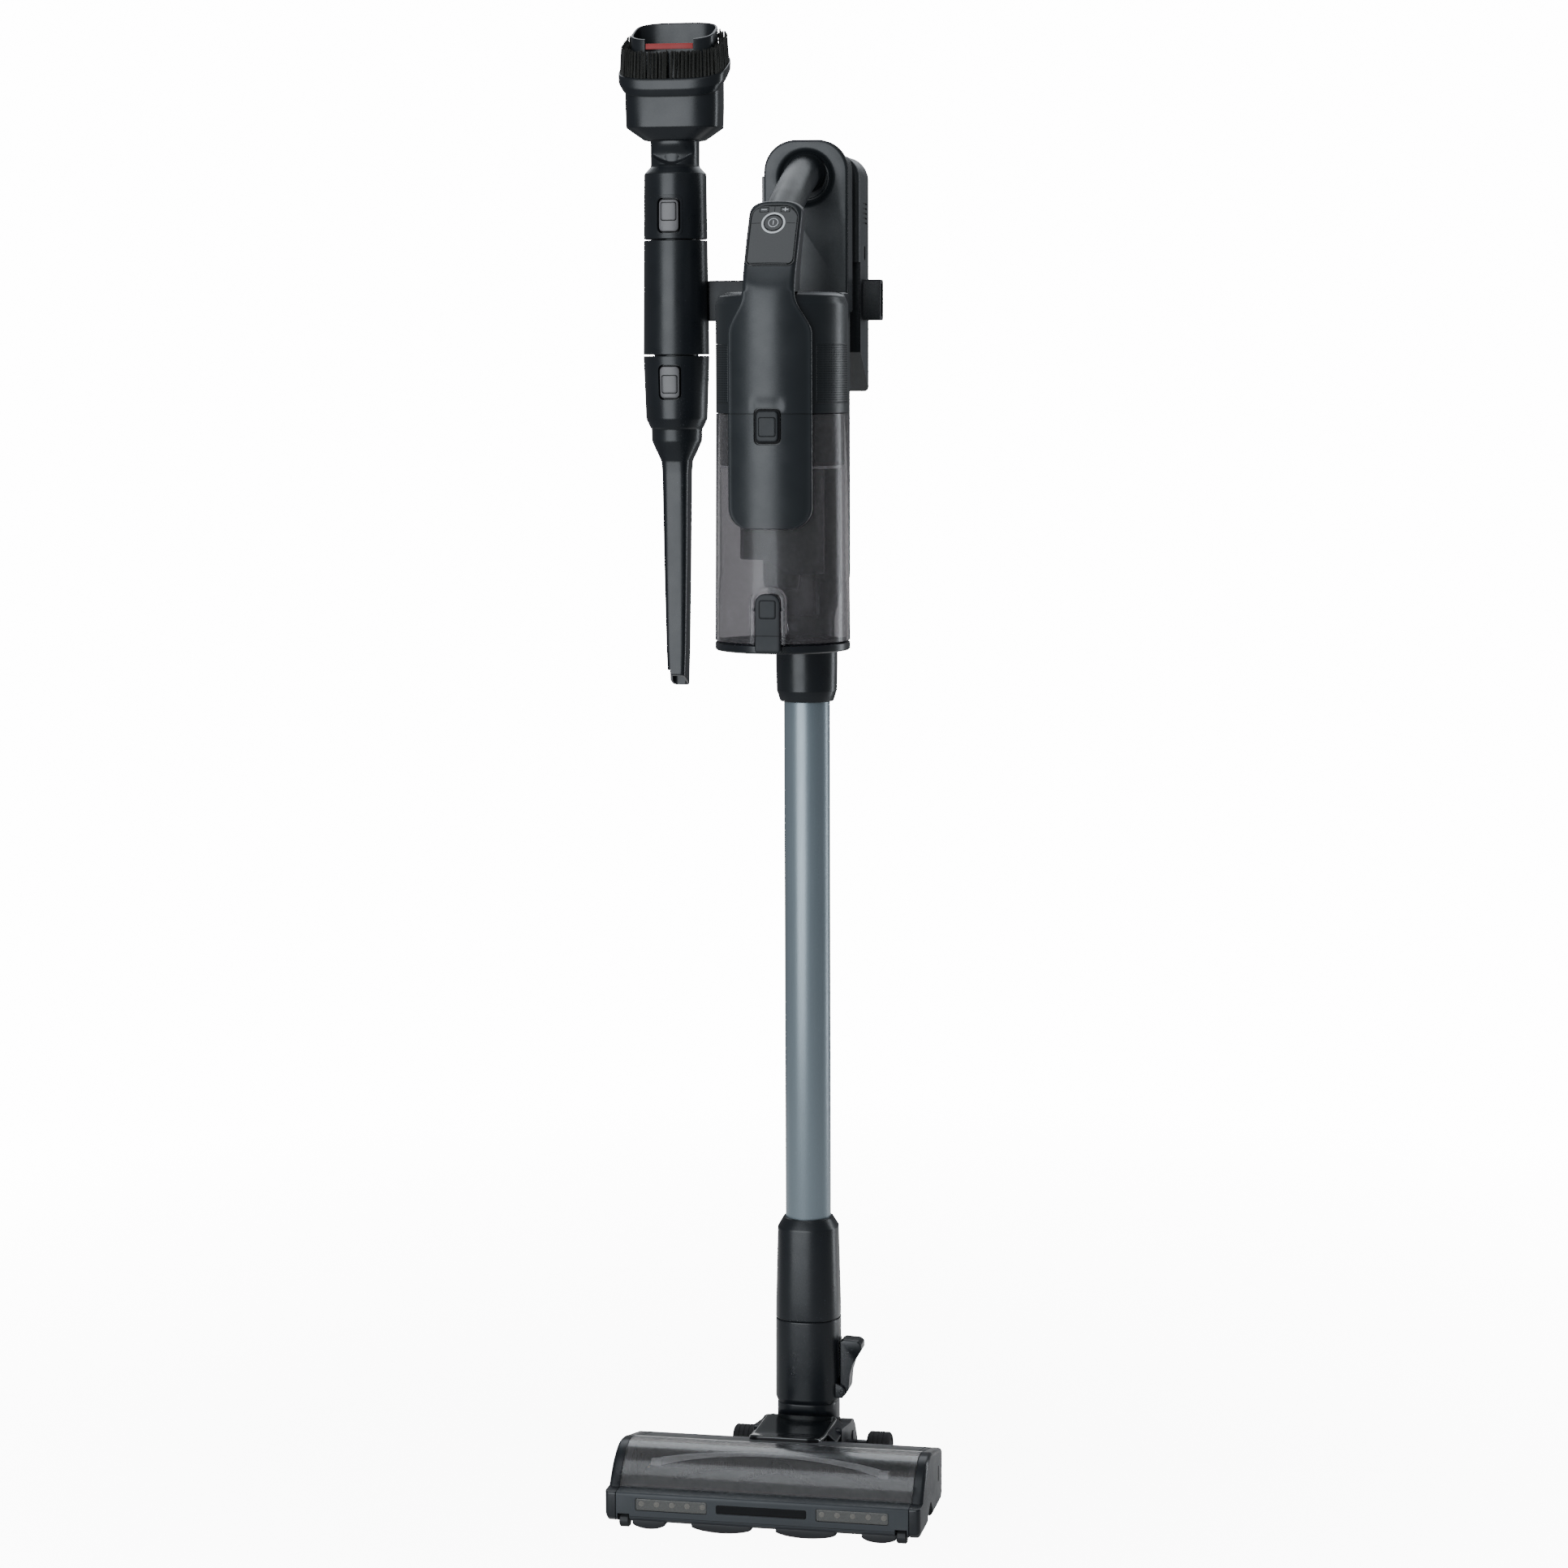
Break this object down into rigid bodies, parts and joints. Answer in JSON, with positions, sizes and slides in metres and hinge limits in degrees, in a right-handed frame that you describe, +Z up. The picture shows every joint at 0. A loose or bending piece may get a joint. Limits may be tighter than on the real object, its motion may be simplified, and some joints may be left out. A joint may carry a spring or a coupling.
{
  "type": "cordless stick vacuum",
  "caption": "Cordless stick vacuum hanging on a wall dock, with smoked dust cup, slender metal wand, motorised floor head, and a dusting brush and crevice tool stored on a side arm.",
  "frame": {"origin": "centre of the dock's wall face, on its back", "axes": "+Z up, +Y into the wall, +X to the right as seen from the front; the vacuum faces -Y"},
  "size_m": [0.2993, 0.286, 1.2341],
  "materials": {
    "satin_black": "satin moulded plastic",
    "graphite": "fine matt moulded plastic",
    "smoked": "clear smoked plastic",
    "slate": "anodised tube, slate grey",
    "dark_grey": "matt moulded plastic",
    "rubber": "soft rubber",
    "foam": "pleated or foam filter medium",
    "brass": "bare metal",
    "steel": "machined steel",
    "bristle": "dense fine bristle",
    "lens": "smoked lens",
    "roll": "bristle rows on a plastic core"
  },
  "bodies": {
    "dock": {"dock_back_plate": "dark_grey", "dock_shell": "graphite", "charge_contact_left": "brass", "charge_contact_right": "brass", "tool_arm": "graphite", "tool_holder": "satin_black"},
    "dusting_brush": {"dusting_brush_body": "satin_black", "dusting_brush_sleeve": "satin_black"},
    "bristles": {"bristle_ring": "bristle"},
    "dusting_brush_key": {"dusting_brush_button": "dark_grey"},
    "crevice_nozzle": {"crevice_tool": "satin_black"},
    "crevice_key": {"crevice_tool_button": "dark_grey"},
    "handheld": {"rear_spine": "graphite", "handle_grip": "satin_black", "front_body": "satin_black", "control_panel": "satin_black", "motor_housing": "satin_black", "suction_motor": "steel", "exhaust_filter": "foam", "cyclone_shroud": "dark_grey", "cyclone_cone": "dark_grey", "pre_motor_filter": "foam"},
    "fan": {"impeller": "steel"},
    "power_key": {"power_button": "dark_grey"},
    "minus_key": {"minus_button": "dark_grey"},
    "plus_key": {"plus_button": "dark_grey"},
    "battery": {"battery_pack": "satin_black"},
    "battery_key": {"battery_button": "dark_grey"},
    "cup_key": {"cup_release_button": "dark_grey"},
    "cup": {"dust_cup": "smoked", "lid_hinge_pin": "steel"},
    "lid": {"cup_lid": "satin_black", "lid_seal": "rubber"},
    "latch": {"lid_latch": "satin_black"},
    "wand": {"wand_tube": "slate", "wand_top_collar": "satin_black", "wand_bottom_collar": "satin_black"},
    "wand_key": {"wand_release_button": "dark_grey"},
    "neck": {"head_neck": "satin_black"},
    "pedal": {"head_release_pedal": "satin_black"},
    "knuckle": {"neck_knuckle": "satin_black"},
    "head": {"yoke": "satin_black", "head_chassis": "satin_black", "head_deck": "graphite", "brush_window": "smoked", "front_bumper": "graphite", "side_cap_left": "satin_black", "side_cap_right": "satin_black", "hair_comb": "dark_grey", "light_window_left": "lens", "light_window_right": "lens", "brush_motor": "steel", "drive_belt": "rubber", "rear_axle": "steel"},
    "roll": {"brush_roll": "roll"},
    "pulley": {"motor_pulley": "brass"},
    "rear_left": {"rear_wheel_left": "rubber"},
    "rear_right": {"rear_wheel_right": "rubber"},
    "front_left": {"front_roller_left": "dark_grey"},
    "front_right": {"front_roller_right": "dark_grey"}
  },
  "joints": [
    {"name": "dusting_brush_off", "type": "slide", "parent": "dock", "child": "dusting_brush", "axis": [0, 0, 1], "range_m": [0, 0.04]},
    {"name": "bristle_ring_down", "type": "slide", "parent": "dusting_brush", "child": "bristles", "axis": [0, 0, -1], "range_m": [0, 0.009]},
    {"name": "dusting_brush_press", "type": "slide", "parent": "dusting_brush", "child": "dusting_brush_key", "axis": [0, 1, 0], "range_m": [0, 0.0012], "stiffness_N_per_m": 900},
    {"name": "crevice_tool_off", "type": "slide", "parent": "dock", "child": "crevice_nozzle", "axis": [0, 0, -1], "range_m": [0, 0.04]},
    {"name": "crevice_press", "type": "slide", "parent": "crevice_nozzle", "child": "crevice_key", "axis": [0, 1, 0], "range_m": [0, 0.0012], "stiffness_N_per_m": 900},
    {"name": "vacuum_off_dock", "type": "slide", "parent": "dock", "child": "handheld", "axis": [0, 0, 1], "range_m": [0, 0.03]},
    {"name": "fan_spin", "type": "hinge", "parent": "handheld", "child": "fan", "pos_m": [0, -0.185, -0.104], "axis": [0, 0, 1], "continuous": true},
    {"name": "power_press", "type": "slide", "parent": "handheld", "child": "power_key", "axis": [0, 0.8684, -0.4959], "range_m": [0, 0.0005], "stiffness_N_per_m": 1500},
    {"name": "minus_press", "type": "slide", "parent": "handheld", "child": "minus_key", "axis": [0, 0.8684, -0.4959], "range_m": [0, 0.0005], "stiffness_N_per_m": 1500},
    {"name": "plus_press", "type": "slide", "parent": "handheld", "child": "plus_key", "axis": [0, 0.8684, -0.4959], "range_m": [0, 0.0005], "stiffness_N_per_m": 1500},
    {"name": "battery_out", "type": "slide", "parent": "handheld", "child": "battery", "axis": [0, 0, 1], "range_m": [0, 0.13]},
    {"name": "battery_press", "type": "slide", "parent": "handheld", "child": "battery_key", "axis": [1, 0, 0], "range_m": [0, 0.0015], "stiffness_N_per_m": 900},
    {"name": "cup_press", "type": "slide", "parent": "handheld", "child": "cup_key", "axis": [0, 1, 0], "range_m": [0, 0.0012], "stiffness_N_per_m": 900},
    {"name": "cup_off", "type": "slide", "parent": "handheld", "child": "cup", "axis": [0, 0, -1], "range_m": [0, 0.15]},
    {"name": "lid_swing", "type": "hinge", "parent": "cup", "child": "lid", "pos_m": [0, -0.1265, -0.3005], "axis": [1, 0, 0], "range_deg": [0, 90]},
    {"name": "latch_tip", "type": "hinge", "parent": "cup", "child": "latch", "pos_m": [0, -0.2428, -0.269], "axis": [-1, 0, 0], "range_deg": [0, 6], "stiffness_Nm_per_rad": 0.6},
    {"name": "wand_off", "type": "slide", "parent": "handheld", "child": "wand", "axis": [0, 0, -1], "range_m": [0, 0.03]},
    {"name": "wand_press", "type": "slide", "parent": "wand", "child": "wand_key", "axis": [0, -1, 0], "range_m": [0, 0.0012], "stiffness_N_per_m": 900},
    {"name": "neck_off", "type": "slide", "parent": "wand", "child": "neck", "axis": [0, 0, -1], "range_m": [0, 0.03]},
    {"name": "pedal_tip", "type": "hinge", "parent": "neck", "child": "pedal", "pos_m": [0.0305, -0.085, -0.951], "axis": [0, 1, 0], "range_deg": [0, 10], "stiffness_Nm_per_rad": 0.8},
    {"name": "neck_swivel", "type": "hinge", "parent": "neck", "child": "knuckle", "pos_m": [0, -0.085, -0.96], "axis": [0, 0, 1], "range_deg": [-60, 60]},
    {"name": "head_tilt", "type": "hinge", "parent": "knuckle", "child": "head", "pos_m": [0, -0.085, -0.991], "axis": [1, 0, 0], "range_deg": [0, 70]},
    {"name": "roll_spin", "type": "hinge", "parent": "head", "child": "roll", "pos_m": [0, -0.237, -0.9955], "axis": [1, 0, 0], "continuous": true},
    {"name": "pulley_spin", "type": "hinge", "parent": "head", "child": "pulley", "pos_m": [0, -0.1925, -0.99], "axis": [1, 0, 0], "continuous": true},
    {"name": "rear_left_spin", "type": "hinge", "parent": "head", "child": "rear_left", "pos_m": [0, -0.068, -1.006], "axis": [1, 0, 0], "continuous": true},
    {"name": "rear_right_spin", "type": "hinge", "parent": "head", "child": "rear_right", "pos_m": [0, -0.068, -1.006], "axis": [1, 0, 0], "continuous": true},
    {"name": "front_left_spin", "type": "hinge", "parent": "head", "child": "front_left", "pos_m": [0, -0.2785, -1.0138], "axis": [1, 0, 0], "continuous": true},
    {"name": "front_right_spin", "type": "hinge", "parent": "head", "child": "front_right", "pos_m": [0, -0.2785, -1.0138], "axis": [1, 0, 0], "continuous": true}
  ],
  "couplings": [
    {"joint": "pulley_spin", "follows": "roll_spin", "ratio": 1.3846}
  ]
}
